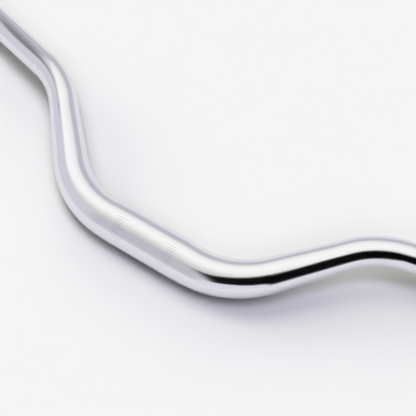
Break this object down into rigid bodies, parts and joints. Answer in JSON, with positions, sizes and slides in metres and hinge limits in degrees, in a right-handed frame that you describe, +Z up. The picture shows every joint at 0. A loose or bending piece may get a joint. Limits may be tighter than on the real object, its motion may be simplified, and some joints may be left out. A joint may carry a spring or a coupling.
{
  "type": "bicycle handlebar",
  "caption": "Riser handlebar: one silver aluminium tube, thick at the clamp, tapered through its bends, with swept grips.",
  "frame": {"origin": "centre of the clamp section, on its axis, with the bar lying as it comes to rest on its clamp section and both ends", "axes": "+X along the clamp axis, +Y the way the bar rises, level with the table it lies on, +Z up from the table"},
  "size_m": [0.7858, 0.1746, 0.038],
  "materials": {
    "anodised_silver": "satin, fine bead-blasted and clear anodised"
  },
  "bodies": {
    "root": {"handlebar": "anodised_silver"}
  },
  "joints": []
}
